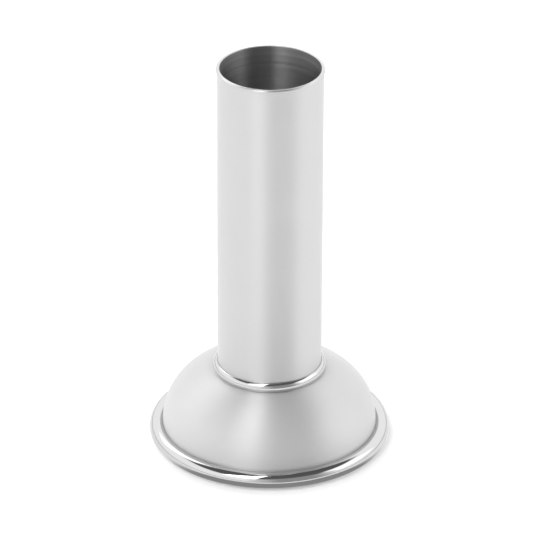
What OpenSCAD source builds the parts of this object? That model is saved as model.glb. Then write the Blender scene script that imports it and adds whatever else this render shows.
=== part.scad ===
// Stainless-steel filling funnel: a long straight spout brazed into a spun bell mouth.
// It stands on its mouth. Origin: centre of the mouth's bottom plane, +Z up the spout.
// Every piece is a turned section, so each module draws its section and spins it once.

/* [Spout] */
// Outside diameter of the straight spout
spout_d = 38.1; // [30:0.1:50]
// Thickness of the spout's wall
spout_wall = 0.9; // [0.6:0.1:1.5]
// Height of the whole funnel, from the mouth's plane to the spout's lip
overall_h = 148.4; // [90:0.1:220]
// How far the spout runs on below the crown of the bell
spout_tail = 1.5; // [1.2:0.1:3]
// How far the rolled lip stands out from the spout's wall
lip_proud = 0.35; // [0.1:0.05:0.6]
// Height of the rolled lip
lip_h = 1.2; // [0.8:0.1:3]

/* [Bell] */
// Outside diameter of the mouth, over its rim
mouth_d = 88.5; // [82:0.1:120]
// Thickness of the bell's sheet
bell_wall = 1.0; // [0.6:0.1:1.5]
// Radius of the bell's shoulder, on the outside
shoulder_r = 22.2; // [20:0.1:26]
// Height of the straight skirt below the shoulder
skirt_h = 5.6; // [5:0.1:9]

/* [Neck ring] */
// Height of the half-round ring above the crown
ring_h = 3.5; // [2.4:0.1:5]
// How far the neck ring stands out from the spout
ring_proud = 1.7; // [1:0.05:2.4]
// How far the ring's round runs on below the crown, where the bell cuts it off
ring_sink = 0.85; // [0.4:0.05:1.2]

/* [Rim] */
// Diameter of the rim's rolled bead
bead_d = 6.2; // [4.6:0.1:8]
// How much of the bead's round is cut away for the skirt
bead_bite = 1.25; // [0.8:0.05:1.6]
// Thickness of the bead's rolled strip
rim_wall = 0.8; // [0.5:0.1:1.2]

/* [Joints] */
// Gap that the braze fills between two sleeved walls
braze_gap = 0.05; // [0.02:0.01:0.1]
// Leg of the braze fillet under the crown
fillet_leg = 1.1; // [0.6:0.1:1.2]
// Width of the braze seam at the foot, between skirt and bead
seam_w = 1; // [0.6:0.1:1.2]

/* [Hidden] */
$fn = 128;
satin_steel = "gainsboro";
polished_steel = "whitesmoke";
braze_metal = "silver";
spout_r = spout_d / 2;
spout_ri = spout_r - spout_wall;
mouth_r = mouth_d / 2;
bead_r = bead_d / 2;
skirt_r = mouth_r - bead_d + bead_bite;
shoulder_at = [skirt_r - shoulder_r, skirt_h];
// Height of the bell's outer and inner face where the spout passes through
crown_fall = max(0, spout_r - shoulder_at[0]);
crown_z = skirt_h + sqrt(pow(shoulder_r, 2) - pow(crown_fall, 2));
crown_zi = skirt_h + sqrt(pow(shoulder_r - bell_wall, 2) - pow(crown_fall, 2));
spout_foot = crown_zi - spout_tail;
// The ring's face is one arc through both edges of its bore
ring_half = (ring_h + ring_sink) / 2;
ring_arc_r = (pow(ring_half, 2) + pow(ring_proud, 2)) / (2 * ring_proud);
ring_mid = crown_z + ring_h - ring_half;
// The bead stands on the mouth's plane and is bored out to pass over the skirt
rim_ri = skirt_r + braze_gap;
bead_at = [mouth_r - bead_r, bead_r];
bead_foot_z = bead_r - sqrt(pow(bead_r, 2) - pow(bead_at[0] - rim_ri, 2));

// The straight spout, with a small rolled lip at its open end
module spout_tube() {
    lip_round = lip_h / 2;
    lip_at = [spout_r + lip_proud - lip_round, overall_h - lip_round];
    color(satin_steel)
        rotate_extrude() {
            translate([spout_ri, spout_foot])
                square([spout_wall, lip_at[1] - spout_foot]);
            translate([spout_ri, lip_at[1]])
                square([lip_at[0] - spout_ri, lip_round]);
            intersection() {
                translate(lip_at)
                    circle(r = lip_round);
                translate([spout_ri, overall_h - lip_h])
                    square([spout_wall + lip_proud, lip_h]);
            }
        }
}

// The polished half-round ring that covers the joint of spout and bell
module neck_ring() {
    color(polished_steel)
        rotate_extrude()
            difference() {
                intersection() {
                    translate([spout_r + ring_proud - ring_arc_r, ring_mid])
                        circle(r = ring_arc_r);
                    translate([spout_r, crown_z - ring_sink])
                        square([ring_proud, ring_half * 2]);
                }
                bell_outline(0);
            }
}

// The spun bell: a crown with a hole for the spout, a round shoulder and a straight skirt
module bell() {
    hole_r = spout_r + braze_gap;
    color(satin_steel)
        rotate_extrude()
            difference() {
                bell_outline(0);
                bell_outline(bell_wall);
                square([hole_r, skirt_h + shoulder_r]);
            }
}

// Outline of the bell from its axis out, drawn inwards by the sheet's thickness for its inside
module bell_outline(inset) {
    intersection() {
        translate(shoulder_at)
            circle(r = shoulder_r - inset);
        translate(shoulder_at)
            square(shoulder_r);
    }
    square([shoulder_at[0], skirt_h + shoulder_r - inset]);
    square([skirt_r - inset, skirt_h]);
}

// The rolled rim: a round bead of strip, open on the inside and closed by the skirt
module rim_ring() {
    color(polished_steel)
        rotate_extrude()
            intersection() {
                difference() {
                    translate(bead_at)
                        circle(r = bead_r);
                    translate(bead_at)
                        circle(r = bead_r - rim_wall);
                }
                translate([rim_ri, 0])
                    square([mouth_r - rim_ri, bead_d]);
            }
}

// The fillet of braze under the crown, around the spout's tail
module neck_fillet() {
    color(braze_metal)
        rotate_extrude()
            intersection() {
                translate([spout_r, crown_zi - fillet_leg])
                    square([fillet_leg, fillet_leg]);
                translate([spout_r, crown_zi])
                    circle(r = fillet_leg);
                bell_outline(bell_wall);
            }
}

// The seam of braze at the foot, in the groove between skirt and bead
module rim_seam() {
    color(braze_metal)
        rotate_extrude()
            difference() {
                translate([skirt_r, 0])
                    square([seam_w, bead_foot_z]);
                translate(bead_at)
                    circle(r = bead_r);
            }
}

spout_tube();
neck_ring();
bell();
rim_ring();
neck_fillet();
rim_seam();
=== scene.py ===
"""A stainless-steel filling funnel standing on its mouth: the looks of each piece and the stage."""
import math

import bpy
from mathutils import Matrix, Vector


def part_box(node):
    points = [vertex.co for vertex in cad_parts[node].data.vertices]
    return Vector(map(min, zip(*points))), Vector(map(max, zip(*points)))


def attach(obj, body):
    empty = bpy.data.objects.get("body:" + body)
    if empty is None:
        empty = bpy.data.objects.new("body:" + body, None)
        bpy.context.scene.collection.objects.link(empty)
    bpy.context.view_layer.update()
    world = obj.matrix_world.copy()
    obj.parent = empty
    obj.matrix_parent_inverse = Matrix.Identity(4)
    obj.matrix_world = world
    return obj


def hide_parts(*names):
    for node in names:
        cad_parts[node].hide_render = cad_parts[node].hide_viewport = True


bl_info = {
    "name": "Filling funnel",
    "version": (1, 0, 0),
    "blender": (4, 5, 0),
    "location": "View3D > Sidebar > Funnel",
    "description": "Turns the pieces of a stainless-steel filling funnel and sets up its stage",
    "category": "Add Mesh",
}

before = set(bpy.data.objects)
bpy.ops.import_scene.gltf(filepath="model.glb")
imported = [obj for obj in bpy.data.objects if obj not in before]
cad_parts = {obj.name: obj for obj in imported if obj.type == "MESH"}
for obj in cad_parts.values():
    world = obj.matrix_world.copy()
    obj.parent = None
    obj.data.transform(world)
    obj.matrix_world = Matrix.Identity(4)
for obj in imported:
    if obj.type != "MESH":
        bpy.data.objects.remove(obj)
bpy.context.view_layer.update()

MM = 0.001
# Parts round the axis of a piece, and of the small fillet of braze
STEPS = 256
FILLET_STEPS = 192
# Points of a section closer than this are one point
SAME_POINT = 0.0005 * MM
# Edges sharper than this stay sharp
SMOOTH_ANGLE = math.radians(35)


def reach(node):
    """Outer radius, foot and top of a turned CAD node, in metres."""
    low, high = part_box(node)
    return high.x, low.z, high.z


LIP_R, SPOUT_FOOT, SPOUT_TOP = reach("spout_tube")
RING_R, RING_FOOT, RING_TOP = reach("neck_ring")
SKIRT_R = reach("bell")[0]
MOUTH_R = reach("rim_ring")[0]
_, FILLET_FOOT, FILLET_TOP = reach("neck_fillet")
# How far the neck ring stands out from the spout
RING_PROUD = 1.7 * MM


class FunnelSpout(bpy.types.PropertyGroup):
    """Sizes of the straight spout."""

    radius: bpy.props.FloatProperty(
        name="Spout radius", description="Outside radius of the straight spout",
        default=RING_R - RING_PROUD, unit="LENGTH")
    wall: bpy.props.FloatProperty(
        name="Spout wall", description="Thickness of the spout's wall",
        default=0.9 * MM, unit="LENGTH")
    lip_height: bpy.props.FloatProperty(
        name="Lip height", description="Height of the rolled lip at the open end",
        default=1.2 * MM, unit="LENGTH")
    edge: bpy.props.FloatProperty(
        name="Edge radius", description="Radius of the spout's smoothed edges",
        default=0.2 * MM, unit="LENGTH")


class FunnelBell(bpy.types.PropertyGroup):
    """Sizes of the bell, its neck ring and its rim."""

    wall: bpy.props.FloatProperty(
        name="Bell wall", description="Thickness of the bell's sheet",
        default=1.0 * MM, unit="LENGTH")
    shoulder: bpy.props.FloatProperty(
        name="Shoulder radius", description="Radius of the bell's shoulder, on the outside",
        default=22.2 * MM, unit="LENGTH")
    skirt: bpy.props.FloatProperty(
        name="Skirt height", description="Height of the straight skirt below the shoulder",
        default=5.6 * MM, unit="LENGTH")
    bead: bpy.props.FloatProperty(
        name="Bead radius", description="Radius of the rim's rolled bead",
        default=3.1 * MM, unit="LENGTH")
    strip: bpy.props.FloatProperty(
        name="Strip thickness", description="Thickness of the bead's rolled strip",
        default=0.8 * MM, unit="LENGTH")
    ring_half: bpy.props.FloatProperty(
        name="Neck ring half height", description="Half the height of the neck ring's round",
        default=2.175 * MM, unit="LENGTH")
    ring_edge: bpy.props.FloatProperty(
        name="Neck ring edge", description="Radius of the ring's top edge beside the spout",
        default=0.3 * MM, unit="LENGTH")
    gap: bpy.props.FloatProperty(
        name="Braze gap", description="Gap that the braze fills between two sleeved walls",
        default=0.05 * MM, unit="LENGTH")
    seam: bpy.props.FloatProperty(
        name="Seam width", description="Width of the braze seam at the foot of the rim",
        default=1.0 * MM, unit="LENGTH")
    edge: bpy.props.FloatProperty(
        name="Edge radius", description="Radius of the sheet's smoothed edges",
        default=0.15 * MM, unit="LENGTH")


class FunnelFinish(bpy.types.PropertyGroup):
    """Colours and polish of the steel and the braze."""

    satin: bpy.props.StringProperty(
        name="Satin steel", description="Colour of the satin steel, as a hex value",
        default="#dadada")
    spun: bpy.props.StringProperty(
        name="Spun satin steel", description="Colour of the bell's satin, as a hex value",
        default="#e6e6e6")
    bore: bpy.props.StringProperty(
        name="Bore steel", description="Colour of the duller steel inside, as a hex value",
        default="#b9b9b9")
    polished: bpy.props.StringProperty(
        name="Polished steel", description="Colour of the polished steel, as a hex value",
        default="#cecece")
    braze: bpy.props.StringProperty(
        name="Braze", description="Colour of the braze, as a hex value", default="#b9b3a6")
    satin_roughness: bpy.props.FloatProperty(
        name="Satin roughness", description="Roughness of the satin steel", default=0.36,
        subtype="FACTOR", min=0, max=1)
    spun_roughness: bpy.props.FloatProperty(
        name="Spun roughness", description="Roughness of the spun bell's satin", default=0.5,
        subtype="FACTOR", min=0, max=1)
    bore_streak: bpy.props.FloatProperty(
        name="Bore streaks", description="How much darker the dark lines of the bore are",
        default=0.35, subtype="FACTOR", min=0, max=1)
    spun_haze: bpy.props.FloatProperty(
        name="Spun haze", description="Share of light that the bell scatters widely",
        default=0.52, subtype="FACTOR", min=0, max=1)
    spout_haze: bpy.props.FloatProperty(
        name="Spout haze", description="Share of light that the spout scatters widely",
        default=0.15, subtype="FACTOR", min=0, max=1)
    polish_roughness: bpy.props.FloatProperty(
        name="Polish roughness", description="Roughness of the mirror polish", default=0.07,
        subtype="FACTOR", min=0, max=1)
    braze_roughness: bpy.props.FloatProperty(
        name="Braze roughness", description="Roughness of the wiped braze", default=0.45,
        subtype="FACTOR", min=0, max=1)


class FunnelStage(bpy.types.PropertyGroup):
    """Camera, table and card of painted shade of the stage."""

    distance: bpy.props.FloatProperty(
        name="Camera distance", description="Distance from the camera to the point it looks at",
        default=1585 * MM, unit="LENGTH")
    elevation: bpy.props.FloatProperty(
        name="Camera elevation", description="Height of the camera above level, as an angle",
        default=math.radians(27.73), subtype="ANGLE", unit="ROTATION")
    roll: bpy.props.FloatProperty(
        name="Camera roll", description="Turn of the camera about its line of sight",
        default=math.radians(0.178), subtype="ANGLE", unit="ROTATION")
    target: bpy.props.FloatVectorProperty(
        name="Camera target", description="Point that the camera looks at",
        default=(-1.21 * MM, 0, 68.88 * MM), size=3, subtype="TRANSLATION", unit="LENGTH")
    lens: bpy.props.FloatProperty(
        name="Lens", description="Focal length in millimetres", default=295.2)
    table: bpy.props.StringProperty(
        name="Table white", description="Colour of the white table, as a hex value",
        default="#f9f9f9")
    table_glow: bpy.props.FloatProperty(
        name="Table glow", description="Light that comes up through the white table",
        default=0.25, min=0)
    # The card is painted shade: a faintly glowing grey sheet that only the steel sees, in place of
    # the table's shade by the rim's foot
    shade_card_radius: bpy.props.FloatProperty(
        name="Card radius", description="Radius of the painted shade card on the table before the funnel",
        default=46 * MM, unit="LENGTH")
    shade_card_centre: bpy.props.FloatVectorProperty(
        name="Card centre", description="Middle of the painted shade card",
        default=(3 * MM, -32 * MM, 0.05 * MM), size=3, subtype="TRANSLATION", unit="LENGTH")
    painted_shade_glow: bpy.props.FloatProperty(
        name="Card brightness", description="Brightness of the painted shade card", default=0.36, min=0)


def linear(hex_colour):
    """An sRGB hex colour as linear red, green, blue and full alpha."""
    parts = [int(hex_colour[i:i + 2], 16) / 255 for i in (1, 3, 5)]
    return [p / 12.92 if p <= 0.04045 else ((p + 0.055) / 1.055) ** 2.4 for p in parts] + [1]


def add(tree, kind, settings=None, inputs=None):
    """Adds a node with its settings and its inputs, each a value or a socket; gives its outputs."""
    node = tree.nodes.new(kind)
    for name, value in (settings or {}).items():
        setattr(node, name, value)
    for name, value in (inputs or {}).items():
        if isinstance(value, bpy.types.NodeSocket):
            tree.links.new(value, node.inputs[name])
        else:
            node.inputs[name].default_value = value
    return node.outputs


def new_material(name):
    """An empty node material and its tree."""
    material = bpy.data.materials.new(name)
    material.use_nodes = True
    material.node_tree.nodes.clear()
    return material, material.node_tree


def turned_place(tree):
    """Object coordinates: place, its x, y and z, its distance from the axis, and the way round."""
    place = add(tree, "ShaderNodeTexCoord")["Object"]
    parts = add(tree, "ShaderNodeSeparateXYZ", inputs={0: place})
    flat = add(tree, "ShaderNodeVectorMath", {"operation": "MULTIPLY"}, {0: place, 1: (1, 1, 0)})[0]
    radius = add(tree, "ShaderNodeVectorMath", {"operation": "LENGTH"}, {0: flat})["Value"]
    round_way = add(tree, "ShaderNodeVectorMath", {"operation": "CROSS_PRODUCT"},
                    {0: (0, 0, 1), 1: flat})[0]
    return place, parts, radius, round_way


# How far a turned line wanders along the piece on its way across it
LINE_DRIFT = 0.01
# The part of the noise that the lines use, and how much rougher or finer they are than the whole
LINE_RANGE = (0.3, 0.7)
LINE_ROUGHNESS = 0.12
# Roughness of the wide, milky share of a satin's light
MILKY_ROUGHNESS = 0.8
# A quarter of a turn lays the blur across the lines, as a share of a full turn
ACROSS_THE_LINES = 0.25


def steel(name, colour, roughness, *, grain, line_mm, line_depth_mm, wave_mm, wave_depth_mm,
          haze=0.0, streak=0.04):
    """A turned metal: fine lines round the axis, over slow waves of the sheet.

    The grain is how much the lines draw a highlight out along the section, the haze is the share
    of light that the satin scatters widely, and the streak is how much darker its dark lines are.
    Real lines are some hundredths of a millimetre apart, too fine to show. They are drawn some
    tenths apart.
    """
    material, tree = new_material(name)
    place, parts, radius, round_way = turned_place(tree)
    # The section of the piece, stretched so that noise makes lines round the axis
    drift = add(tree, "ShaderNodeMath", {"operation": "MULTIPLY"}, {0: parts["X"], 1: LINE_DRIFT})[0]
    section = add(tree, "ShaderNodeCombineXYZ", inputs={0: radius, 1: drift, 2: parts["Z"]})[0]
    lines = add(tree, "ShaderNodeTexNoise", inputs={
        "Vector": section, "Scale": 1 / (line_mm * MM), "Detail": 3.0, "Roughness": 0.6})[0]
    waves = add(tree, "ShaderNodeTexNoise", inputs={
        "Vector": place, "Scale": 1 / (wave_mm * MM), "Detail": 1.0})[0]
    wave_bump = add(tree, "ShaderNodeBump", inputs={
        "Strength": 1.0, "Distance": wave_depth_mm * MM, "Height": waves})[0]
    bump = add(tree, "ShaderNodeBump", inputs={
        "Strength": 1.0, "Distance": line_depth_mm * MM, "Height": lines, "Normal": wave_bump})[0]
    rough = add(tree, "ShaderNodeMapRange", inputs={
        "Value": lines, "From Min": LINE_RANGE[0], "From Max": LINE_RANGE[1],
        "To Min": roughness * (1 - LINE_ROUGHNESS), "To Max": roughness * (1 + LINE_ROUGHNESS)})[0]
    pale = linear(colour)
    dark = [c * (1 - streak) for c in pale[:3]] + [1]
    tint = add(tree, "ShaderNodeMix", {"data_type": "RGBA"}, {0: lines, 6: dark, 7: pale})[2]
    metal = add(tree, "ShaderNodeBsdfPrincipled", inputs={
        "Base Color": tint, "Metallic": 1.0, "Roughness": rough, "Anisotropic": grain,
        "Anisotropic Rotation": ACROSS_THE_LINES, "Normal": bump, "Tangent": round_way})[0]
    # The share of the light that a satin surface scatters widely, whatever the way of its lines
    milky = add(tree, "ShaderNodeBsdfPrincipled", inputs={
        "Base Color": tint, "Metallic": 1.0, "Roughness": MILKY_ROUGHNESS, "Normal": bump})[0]
    surface = add(tree, "ShaderNodeMixShader", inputs={0: haze, 1: metal, 2: milky})[0]
    add(tree, "ShaderNodeOutputMaterial", inputs={"Surface": surface})
    return material


def on_circle(centre, radius, angle):
    """The point of a circle in the section plane at an angle in radians."""
    return centre[0] + radius * math.cos(angle), centre[1] + radius * math.sin(angle)


def arc(centre, radius, start, end, parts):
    """Points of an arc in the section plane, from one angle to another in degrees."""
    return [on_circle(centre, radius, math.radians(start + (end - start) * i / parts))
            for i in range(parts + 1)]


def wall(across, start, end, parts):
    """Points that divide an upright wall of the section into equal parts, without its ends."""
    return [(across, start + (end - start) * i / parts) for i in range(1, parts)]


def crown(centre, radius, start, end, parts):
    """Points on the bell's round, from one distance from the axis, not included, to another."""
    return [(across, centre[1] + math.sqrt(radius ** 2 - (across - centre[0]) ** 2))
            for across in (start + (end - start) * i / parts for i in range(1, parts + 1))]


def angle_at(centre, radius, across):
    """Angle in degrees at which a circle reaches a distance from the axis, on its upper side."""
    return math.degrees(math.acos((across - centre[0]) / radius))


def turned(name, outline, steps=STEPS):
    """Draws a closed section, spins it round the axis and smooths it."""
    radius, height = outline[0]
    bpy.ops.object.select_all(action="DESELECT")
    bpy.ops.mesh.primitive_plane_add(size=MM, location=(0, 0, 0))
    piece = bpy.context.object
    piece.name = piece.data.name = name
    bpy.ops.object.mode_set(mode="EDIT")
    bpy.ops.mesh.select_all(action="SELECT")
    bpy.ops.mesh.merge(type="CENTER")
    bpy.ops.transform.translate(value=(radius, 0, height))
    for here, there in zip(outline, outline[1:] + outline[:1]):
        step = (there[0] - here[0], 0, there[1] - here[1])
        bpy.ops.mesh.extrude_vertices_move(TRANSFORM_OT_translate={"value": step})
    bpy.ops.mesh.select_all(action="SELECT")
    bpy.ops.mesh.remove_doubles(threshold=SAME_POINT)
    bpy.ops.mesh.select_all(action="SELECT")
    bpy.ops.mesh.spin(steps=steps, angle=math.tau, center=(0, 0, 0), axis=(0, 0, 1))
    bpy.ops.mesh.select_all(action="SELECT")
    bpy.ops.mesh.remove_doubles(threshold=SAME_POINT)
    bpy.ops.mesh.normals_make_consistent(inside=False)
    bpy.ops.object.mode_set(mode="OBJECT")
    bpy.ops.object.shade_smooth_by_angle(angle=SMOOTH_ANGLE)
    return piece


def kept(piece, slot, *nodes):
    """Fixes a finished piece to the body, for the CAD nodes that it stands for."""
    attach(piece, "root")
    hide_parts(*nodes)
    return {"FINISHED"}


# Faces within this share of the wall's thickness from its inside are the bore's
BORE_SKIN = 0.1


class FUNNEL_OT_spout(bpy.types.Operator):
    """Turns the straight spout with its rolled lip"""

    bl_idname = "funnel.spout"
    bl_label = "Spout"

    def execute(self, context):
        size = context.scene.funnel_spout
        finish = context.scene.funnel_finish
        bore = size.radius - size.wall
        roll = size.lip_height / 2
        edge = size.edge
        foot, top = SPOUT_FOOT + edge, SPOUT_TOP - edge
        lip = (LIP_R - roll, SPOUT_TOP - roll)
        lip_foot = SPOUT_TOP - size.lip_height
        meet = angle_at(lip, roll, size.radius)
        # Up the outside, over the lip, down the bore and round the foot to just short of the start
        outline = [(size.radius, foot)]
        outline += wall(size.radius, SPOUT_FOOT, lip_foot, parts=24)
        outline.append((size.radius, lip_foot))
        outline += arc(lip, roll, -meet, 90, parts=20)
        outline += arc((bore + edge, top), edge, 90, 180, parts=6)
        outline += wall(bore, top, foot, parts=24)
        outline += arc((bore + edge, foot), edge, 180, 270, parts=6)
        outline += arc((size.radius - edge, foot), edge, 270, 350, parts=6)
        piece = turned("spout_body", outline)
        # Fine turned lines: a soft sheen that stays bright in upright bands along the spout
        piece.data.materials.append(steel(
            "Satin stainless steel, turned", finish.satin, finish.satin_roughness,
            grain=0.95, line_mm=0.45, line_depth_mm=0.0012, wave_mm=14, wave_depth_mm=0.01,
            haze=finish.spout_haze))
        # Left as drawn: a duller grey with dark streaks. The real lines are finer and shallower,
        # and are drawn this coarse so that they show
        piece.data.materials.append(steel(
            "Drawn stainless steel, unpolished bore", finish.bore, finish.satin_roughness,
            grain=0.99, line_mm=0.8, line_depth_mm=0.01, wave_mm=14, wave_depth_mm=0.01,
            streak=finish.bore_streak))
        for face in piece.data.polygons:
            if math.hypot(face.center.x, face.center.y) < bore + BORE_SKIN * size.wall:
                face.material_index = 1
        return kept(piece, "spout_satin_steel", "spout_tube")


# Step by which the neck ring's foot edge is moved up its face until it clears the crown
FOOT_STEP = math.radians(0.05)


class FUNNEL_OT_neck_ring(bpy.types.Operator):
    """Turns the half-round ring at the neck"""

    bl_idname = "funnel.neck_ring"
    bl_label = "Neck ring"

    def execute(self, context):
        spout = context.scene.funnel_spout
        bell = context.scene.funnel_bell
        finish = context.scene.funnel_finish
        proud, turn = RING_R - spout.radius, bell.ring_edge
        sweep = (bell.ring_half ** 2 + proud ** 2) / (2 * proud)
        centre = (RING_R - sweep, RING_TOP - bell.ring_half)
        shoulder = (SKIRT_R - bell.shoulder, bell.skirt)
        # The small top edge touches both the ring's face and the spout
        across = spout.radius + turn - centre[0]
        rise = math.sqrt((sweep - turn) ** 2 - across ** 2)
        meet = math.degrees(math.atan2(rise, across))
        # The small foot edge touches both the ring's face and the bell's crown
        foot = math.asin((RING_FOOT - centre[1]) / sweep)
        toe = on_circle(centre, sweep - turn, foot)
        while math.dist(shoulder, toe) < bell.shoulder + turn:
            foot += FOOT_STEP
            toe = on_circle(centre, sweep - turn, foot)
        stands = math.degrees(math.atan2(shoulder[1] - toe[1], shoulder[0] - toe[0]))
        foot = math.degrees(foot)
        outline = arc((spout.radius + turn, centre[1] + rise), turn, 180, meet, parts=10)
        outline += arc(centre, sweep, meet, foot, parts=40)[1:]
        outline += arc(toe, turn, foot, stands, parts=8)[1:]
        outline += crown(shoulder, bell.shoulder, outline[-1][0], spout.radius, parts=4)
        piece = turned("neck_ring_body", outline)
        # Buffed bright: a mirror whose edges of light and dark are sharp
        piece.data.materials.append(steel(
            "Mirror-polished stainless steel, ring", finish.polished, finish.polish_roughness,
            grain=0.3, line_mm=0.3, line_depth_mm=0.0003, wave_mm=3, wave_depth_mm=0.004))
        return kept(piece, "ring_polished_steel", "neck_ring")


class FUNNEL_OT_bell(bpy.types.Operator):
    """Turns the spun bell with its crown, shoulder and skirt"""

    bl_idname = "funnel.bell"
    bl_label = "Bell"

    def execute(self, context):
        size = context.scene.funnel_bell
        spout = context.scene.funnel_spout
        finish = context.scene.funnel_finish
        edge = size.edge
        hole = spout.radius + size.gap
        inside = SKIRT_R - size.wall
        shoulder = (SKIRT_R - size.shoulder, size.skirt)
        inner = size.shoulder - size.wall
        # Out and down over the outside, round the foot and back up the inside
        outline = arc(
            shoulder, size.shoulder, angle_at(shoulder, size.shoulder, hole), 0, parts=72)
        outline += wall(SKIRT_R, size.skirt, 0, parts=6)
        outline += arc((SKIRT_R - edge, edge), edge, 0, -90, parts=4)
        outline += arc((inside + edge, edge), edge, -90, -180, parts=4)
        outline += wall(inside, 0, size.skirt, parts=6)
        outline += arc(shoulder, inner, 0, angle_at(shoulder, inner, hole), parts=64)
        piece = turned("bell_body", outline)
        # Spun and satin-finished: a milky sheen that fans out softly from the neck
        piece.data.materials.append(steel(
            "Satin stainless steel, spun", finish.spun, finish.spun_roughness,
            grain=0.93, line_mm=0.35, line_depth_mm=0.0005, wave_mm=16, wave_depth_mm=0.02,
            haze=finish.spun_haze))
        return kept(piece, "bell_satin_steel", "bell")


class FUNNEL_OT_rim(bpy.types.Operator):
    """Turns the rolled rim, a round bead of strip"""

    bl_idname = "funnel.rim"
    bl_label = "Rim"

    def execute(self, context):
        size = context.scene.funnel_bell
        finish = context.scene.funnel_finish
        inside = SKIRT_R + size.gap
        bead = (MOUTH_R - size.bead, size.bead)
        inner = size.bead - size.strip
        outer_end = angle_at(bead, size.bead, inside)
        inner_end = angle_at(bead, inner, inside)
        outline = arc(bead, size.bead, outer_end, -outer_end, parts=96)
        outline += arc(bead, inner, -inner_end, inner_end, parts=40)
        piece = turned("rim_body", outline)
        # Buffed bright: a mirror with slow waves from its rolling
        piece.data.materials.append(steel(
            "Mirror-polished stainless steel, rim", finish.polished, finish.polish_roughness,
            grain=0.3, line_mm=0.3, line_depth_mm=0.0003, wave_mm=5, wave_depth_mm=0.006))
        return kept(piece, "rim_polished_steel", "rim_ring")


# How far below the crown the last point of the fillet's face has to be
FILLET_CLEAR = 0.02 * MM


class FUNNEL_OT_braze(bpy.types.Operator):
    """Turns the fillet of braze under the crown and the seam at the foot"""

    bl_idname = "funnel.braze"
    bl_label = "Braze"

    def execute(self, context):
        size = context.scene.funnel_bell
        spout = context.scene.funnel_spout
        finish = context.scene.funnel_finish
        leg = FILLET_TOP - FILLET_FOOT
        shoulder = (SKIRT_R - size.shoulder, size.skirt)
        under = crown(
            shoulder, size.shoulder - size.wall, spout.radius + leg, spout.radius, parts=6)
        # The fillet's hollow face stops where it meets the underside of the crown
        hollow = arc((spout.radius + leg, FILLET_FOOT), leg, 180, 95, parts=16)
        face = [point for point in hollow if point[1] < under[0][1] - FILLET_CLEAR]
        fillet = turned("neck_braze", face + under, FILLET_STEPS)
        bead = (MOUTH_R - size.bead, size.bead)
        starts = angle_at(bead, size.bead, SKIRT_R + size.gap)
        ends = angle_at(bead, size.bead, SKIRT_R + size.seam)
        section = arc(bead, size.bead, -starts, -ends, parts=12)
        section += [(SKIRT_R + size.seam, 0), (SKIRT_R, 0), (SKIRT_R, section[0][1])]
        seam = turned("rim_braze", section)
        # Silver braze, wiped smooth while hot: warmer and duller than the steel, a little lumpy
        material = steel(
            "Braze, wiped smooth", finish.braze, finish.braze_roughness,
            grain=0, line_mm=0.8, line_depth_mm=0.004, wave_mm=2, wave_depth_mm=0.03)
        fillet.data.materials.append(material)
        seam.data.materials.append(material)
        kept(fillet, "braze", "neck_fillet")
        return kept(seam, "braze", "rim_seam")


# Zones of the studio as the steel sees them: from and to round the axis, where 0 is the
# camera's side and more is to the right, from and to above level, both in degrees and open
# at 180, then softness in degrees, and brightness. A later zone covers an earlier one
ZONES = [
    ((-180, 180), (50, 180), 8, 0.16),     # dark ceiling
    ((-180, 180), (-30, 8), 10, 0.98),     # pale wall beyond the table, all round
    ((-15, 62), (42, 180), 8, 0.16),       # the ceiling comes lower at the front
    ((-15, 62), (-60, 44), 20, 0.86),      # grey screen at the front
    ((2, 50), (-4, 50), 18, 0.5),          # darker patch of it, right of the camera
    ((-53, -14), (45, 100), 2, 5.2),       # lamp above on the left
    ((-112, -53), (10, 50), 8, 1.6),       # white screen on the left
    ((68, 118), (22, 50), 8, 2.3),         # lamp on the right
    ((-162, -132), (34, 56), 8, 3.2),      # lamp behind on the left
]
FILL = 1.6
OPEN = 180


def within(tree, limits):
    """How much of a region a point is in: the product of soft steps, each from first to last."""
    share = 1.0
    for value, start, end, first, last in limits:
        part = add(tree, "ShaderNodeMapRange", {"interpolation_type": "SMOOTHSTEP"}, {
            "Value": value, "From Min": start, "From Max": end, "To Min": first, "To Max": last})[0]
        share = add(tree, "ShaderNodeMath", {"operation": "MULTIPLY"}, {0: share, 1: part})[0]
    return share


def studio_light(scene):
    """The light of the room: zones of brightness round the axis and above level."""
    world = bpy.data.worlds.new("Studio")
    scene.world = world
    world.use_nodes = True
    tree = world.node_tree
    tree.nodes.clear()
    way = add(tree, "ShaderNodeTexCoord")["Generated"]
    parts = add(tree, "ShaderNodeSeparateXYZ", inputs={0: way})
    front = add(tree, "ShaderNodeMath", {"operation": "MULTIPLY"}, {0: parts["Y"], 1: -1.0})[0]
    turn, rise = (
        add(tree, "ShaderNodeMath", {"operation": "DEGREES"}, {0: angle})[0] for angle in (
            add(tree, "ShaderNodeMath", {"operation": "ARCTAN2"}, {0: parts["X"], 1: front})[0],
            add(tree, "ShaderNodeMath", {"operation": "ARCSINE"}, {0: parts["Z"]})[0]))
    light = FILL
    for around, above, soft, glow in ZONES:
        mask = within(tree, [
            (value, edge - soft / 2, edge + soft / 2, first, last)
            for value, (low, high) in ((turn, around), (rise, above))
            for edge, first, last in ((low, 0, 1), (high, 1, 0)) if abs(edge) != OPEN])
        light = add(tree, "ShaderNodeMix", {"data_type": "FLOAT"}, {0: mask, 2: light, 3: glow})[0]
    glow = add(tree, "ShaderNodeBackground", inputs={"Strength": light})[0]
    add(tree, "ShaderNodeOutputWorld", inputs={"Surface": glow})


FLOOR_SIZE = 8.0
# The table lies this far under the foot, so that no two faces share a plane
FLOOR_DROP = 0.01 * MM


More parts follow.
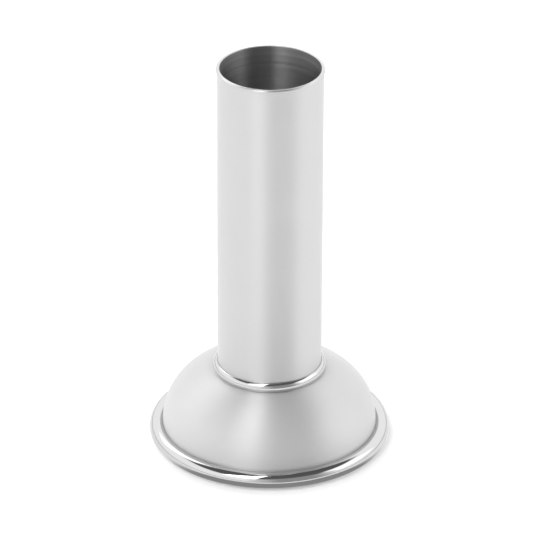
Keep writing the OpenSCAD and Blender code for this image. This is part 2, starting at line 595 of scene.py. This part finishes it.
def table(stage):
    """The white table, lit from below so that it stays white behind the funnel."""
    bpy.ops.object.select_all(action="DESELECT")
    bpy.ops.mesh.primitive_plane_add(size=FLOOR_SIZE, location=(0, 0, -FLOOR_DROP))
    floor = bpy.context.object
    floor.name = "floor"
    # Opal sheet on a light box: white all over, with soft shadows
    material, tree = new_material("White light table")
    sheet = add(tree, "ShaderNodeBsdfDiffuse", inputs={"Color": linear(stage.table)})[0]
    lit = add(tree, "ShaderNodeEmission", inputs={"Strength": stage.table_glow})[0]
    both = add(tree, "ShaderNodeAddShader", inputs={0: sheet, 1: lit})[0]
    add(tree, "ShaderNodeOutputMaterial", inputs={"Surface": both})
    floor.data.materials.append(material)


# The card of painted shade: a painted reflection of the table's shade by the rim's foot
# The card is whole out to this share of its radius, and thins out from there to its edge
CARD_WHOLE = 0.7
# It starts under the rim, and thins out between these two distances beyond it
CARD_UNDER = 1.2 * MM
CARD_FADE = (10 * MM, 26 * MM)


def painted_shade_card(stage):
    """A card of painted shade on the table before the funnel, which shows only in the steel: its
    faint glow paints the table's shade by the rim's foot.
    """
    bpy.ops.object.select_all(action="DESELECT")
    bpy.ops.mesh.primitive_circle_add(
        vertices=96, radius=stage.shade_card_radius, fill_type="NGON", location=stage.shade_card_centre)
    card = bpy.context.object
    card.name = "painted_shade_card"
    bpy.ops.object.transform_apply(location=True)
    # Painted shade with a soft edge: a faintly glowing grey sheet, seen only in reflections, paints
    # the table's shade by the rim's foot as a darker band low on the polished rim
    material, tree = new_material("Painted shade card, soft edge")
    place = add(tree, "ShaderNodeTexCoord")["Object"]
    from_middle, from_axis = (
        add(tree, "ShaderNodeVectorMath", {"operation": "DISTANCE"}, {0: place, 1: point})["Value"]
        for point in (stage.shade_card_centre, (0, 0, 0)))
    cover = within(tree, [
        (from_middle, CARD_WHOLE * stage.shade_card_radius, stage.shade_card_radius, 1, 0),
        (from_axis, MOUTH_R - CARD_UNDER, MOUTH_R, 0, 1),
        (from_axis, MOUTH_R + CARD_FADE[0], MOUTH_R + CARD_FADE[1], 1, 0)])
    # A glow though it is no lamp: the painted shade that the polished rim reflects
    grey = add(tree, "ShaderNodeEmission", inputs={"Strength": stage.painted_shade_glow})[0]
    clear = add(tree, "ShaderNodeBsdfTransparent")[0]
    mixed = add(tree, "ShaderNodeMixShader", inputs={0: cover, 1: clear, 2: grey})[0]
    add(tree, "ShaderNodeOutputMaterial", inputs={"Surface": mixed})
    card.data.materials.append(material)
    # Seen only in the steel's reflections, as painted shade
    card.visible_camera = card.visible_diffuse = card.visible_shadow = False


# Width of the camera's sensor in millimetres, and how far it sees in metres
SENSOR_WIDTH = 36
FAR_CLIP = 20


def camera(scene, stage):
    """The camera, before the funnel and above it, a little rolled."""
    lens = bpy.data.cameras.new("camera")
    lens.lens = stage.lens
    lens.sensor_width = SENSOR_WIDTH
    lens.clip_end = FAR_CLIP
    sight = Vector((0, math.cos(stage.elevation), -math.sin(stage.elevation)))
    right = Vector((1, 0, 0))
    up = right.cross(sight)
    across = math.cos(stage.roll) * right + math.sin(stage.roll) * up
    upward = math.cos(stage.roll) * up - math.sin(stage.roll) * right
    stand = bpy.data.objects.new("camera", lens)
    stand.matrix_world = (
        Matrix.Translation(Vector(stage.target) - sight * stage.distance)
        @ Matrix((across, upward, -sight)).transposed().to_4x4())
    scene.collection.objects.link(stand)
    scene.camera = stand


class FUNNEL_OT_stage(bpy.types.Operator):
    """Sets up the table, the card of painted shade, the studio light and the camera"""

    bl_idname = "funnel.stage"
    bl_label = "Stage"

    def execute(self, context):
        scene = context.scene
        stage = scene.funnel_stage
        table(stage)
        painted_shade_card(stage)
        studio_light(scene)
        camera(scene, stage)
        scene.view_settings.view_transform = "Standard"
        return {"FINISHED"}


OPERATORS = (FUNNEL_OT_spout, FUNNEL_OT_neck_ring, FUNNEL_OT_bell, FUNNEL_OT_rim,
             FUNNEL_OT_braze, FUNNEL_OT_stage)
GROUPS = {"funnel_spout": FunnelSpout, "funnel_bell": FunnelBell,
          "funnel_finish": FunnelFinish, "funnel_stage": FunnelStage}


class FUNNEL_PT_pieces(bpy.types.Panel):
    """Lists the pieces of the funnel and their sizes"""

    bl_label = "Filling funnel"
    bl_idname = "FUNNEL_PT_pieces"
    bl_space_type = "VIEW_3D"
    bl_region_type = "UI"
    bl_category = "Funnel"

    def draw(self, context):
        for name, group in GROUPS.items():
            for prop in group.__annotations__:
                self.layout.prop(getattr(context.scene, name), prop)
        for operator in OPERATORS:
            self.layout.operator(operator.bl_idname)


CLASSES = (*GROUPS.values(), *OPERATORS, FUNNEL_PT_pieces)


def register():
    for cls in CLASSES:
        bpy.utils.register_class(cls)
    for name, group in GROUPS.items():
        setattr(bpy.types.Scene, name, bpy.props.PointerProperty(type=group))


def unregister():
    for name in GROUPS:
        delattr(bpy.types.Scene, name)
    for cls in reversed(CLASSES):
        bpy.utils.unregister_class(cls)


def main():
    register()
    for operator in (bpy.ops.funnel.spout, bpy.ops.funnel.neck_ring, bpy.ops.funnel.bell,
                     bpy.ops.funnel.rim, bpy.ops.funnel.braze, bpy.ops.funnel.stage):
        operator()


if __name__ == "__main__":
    main()
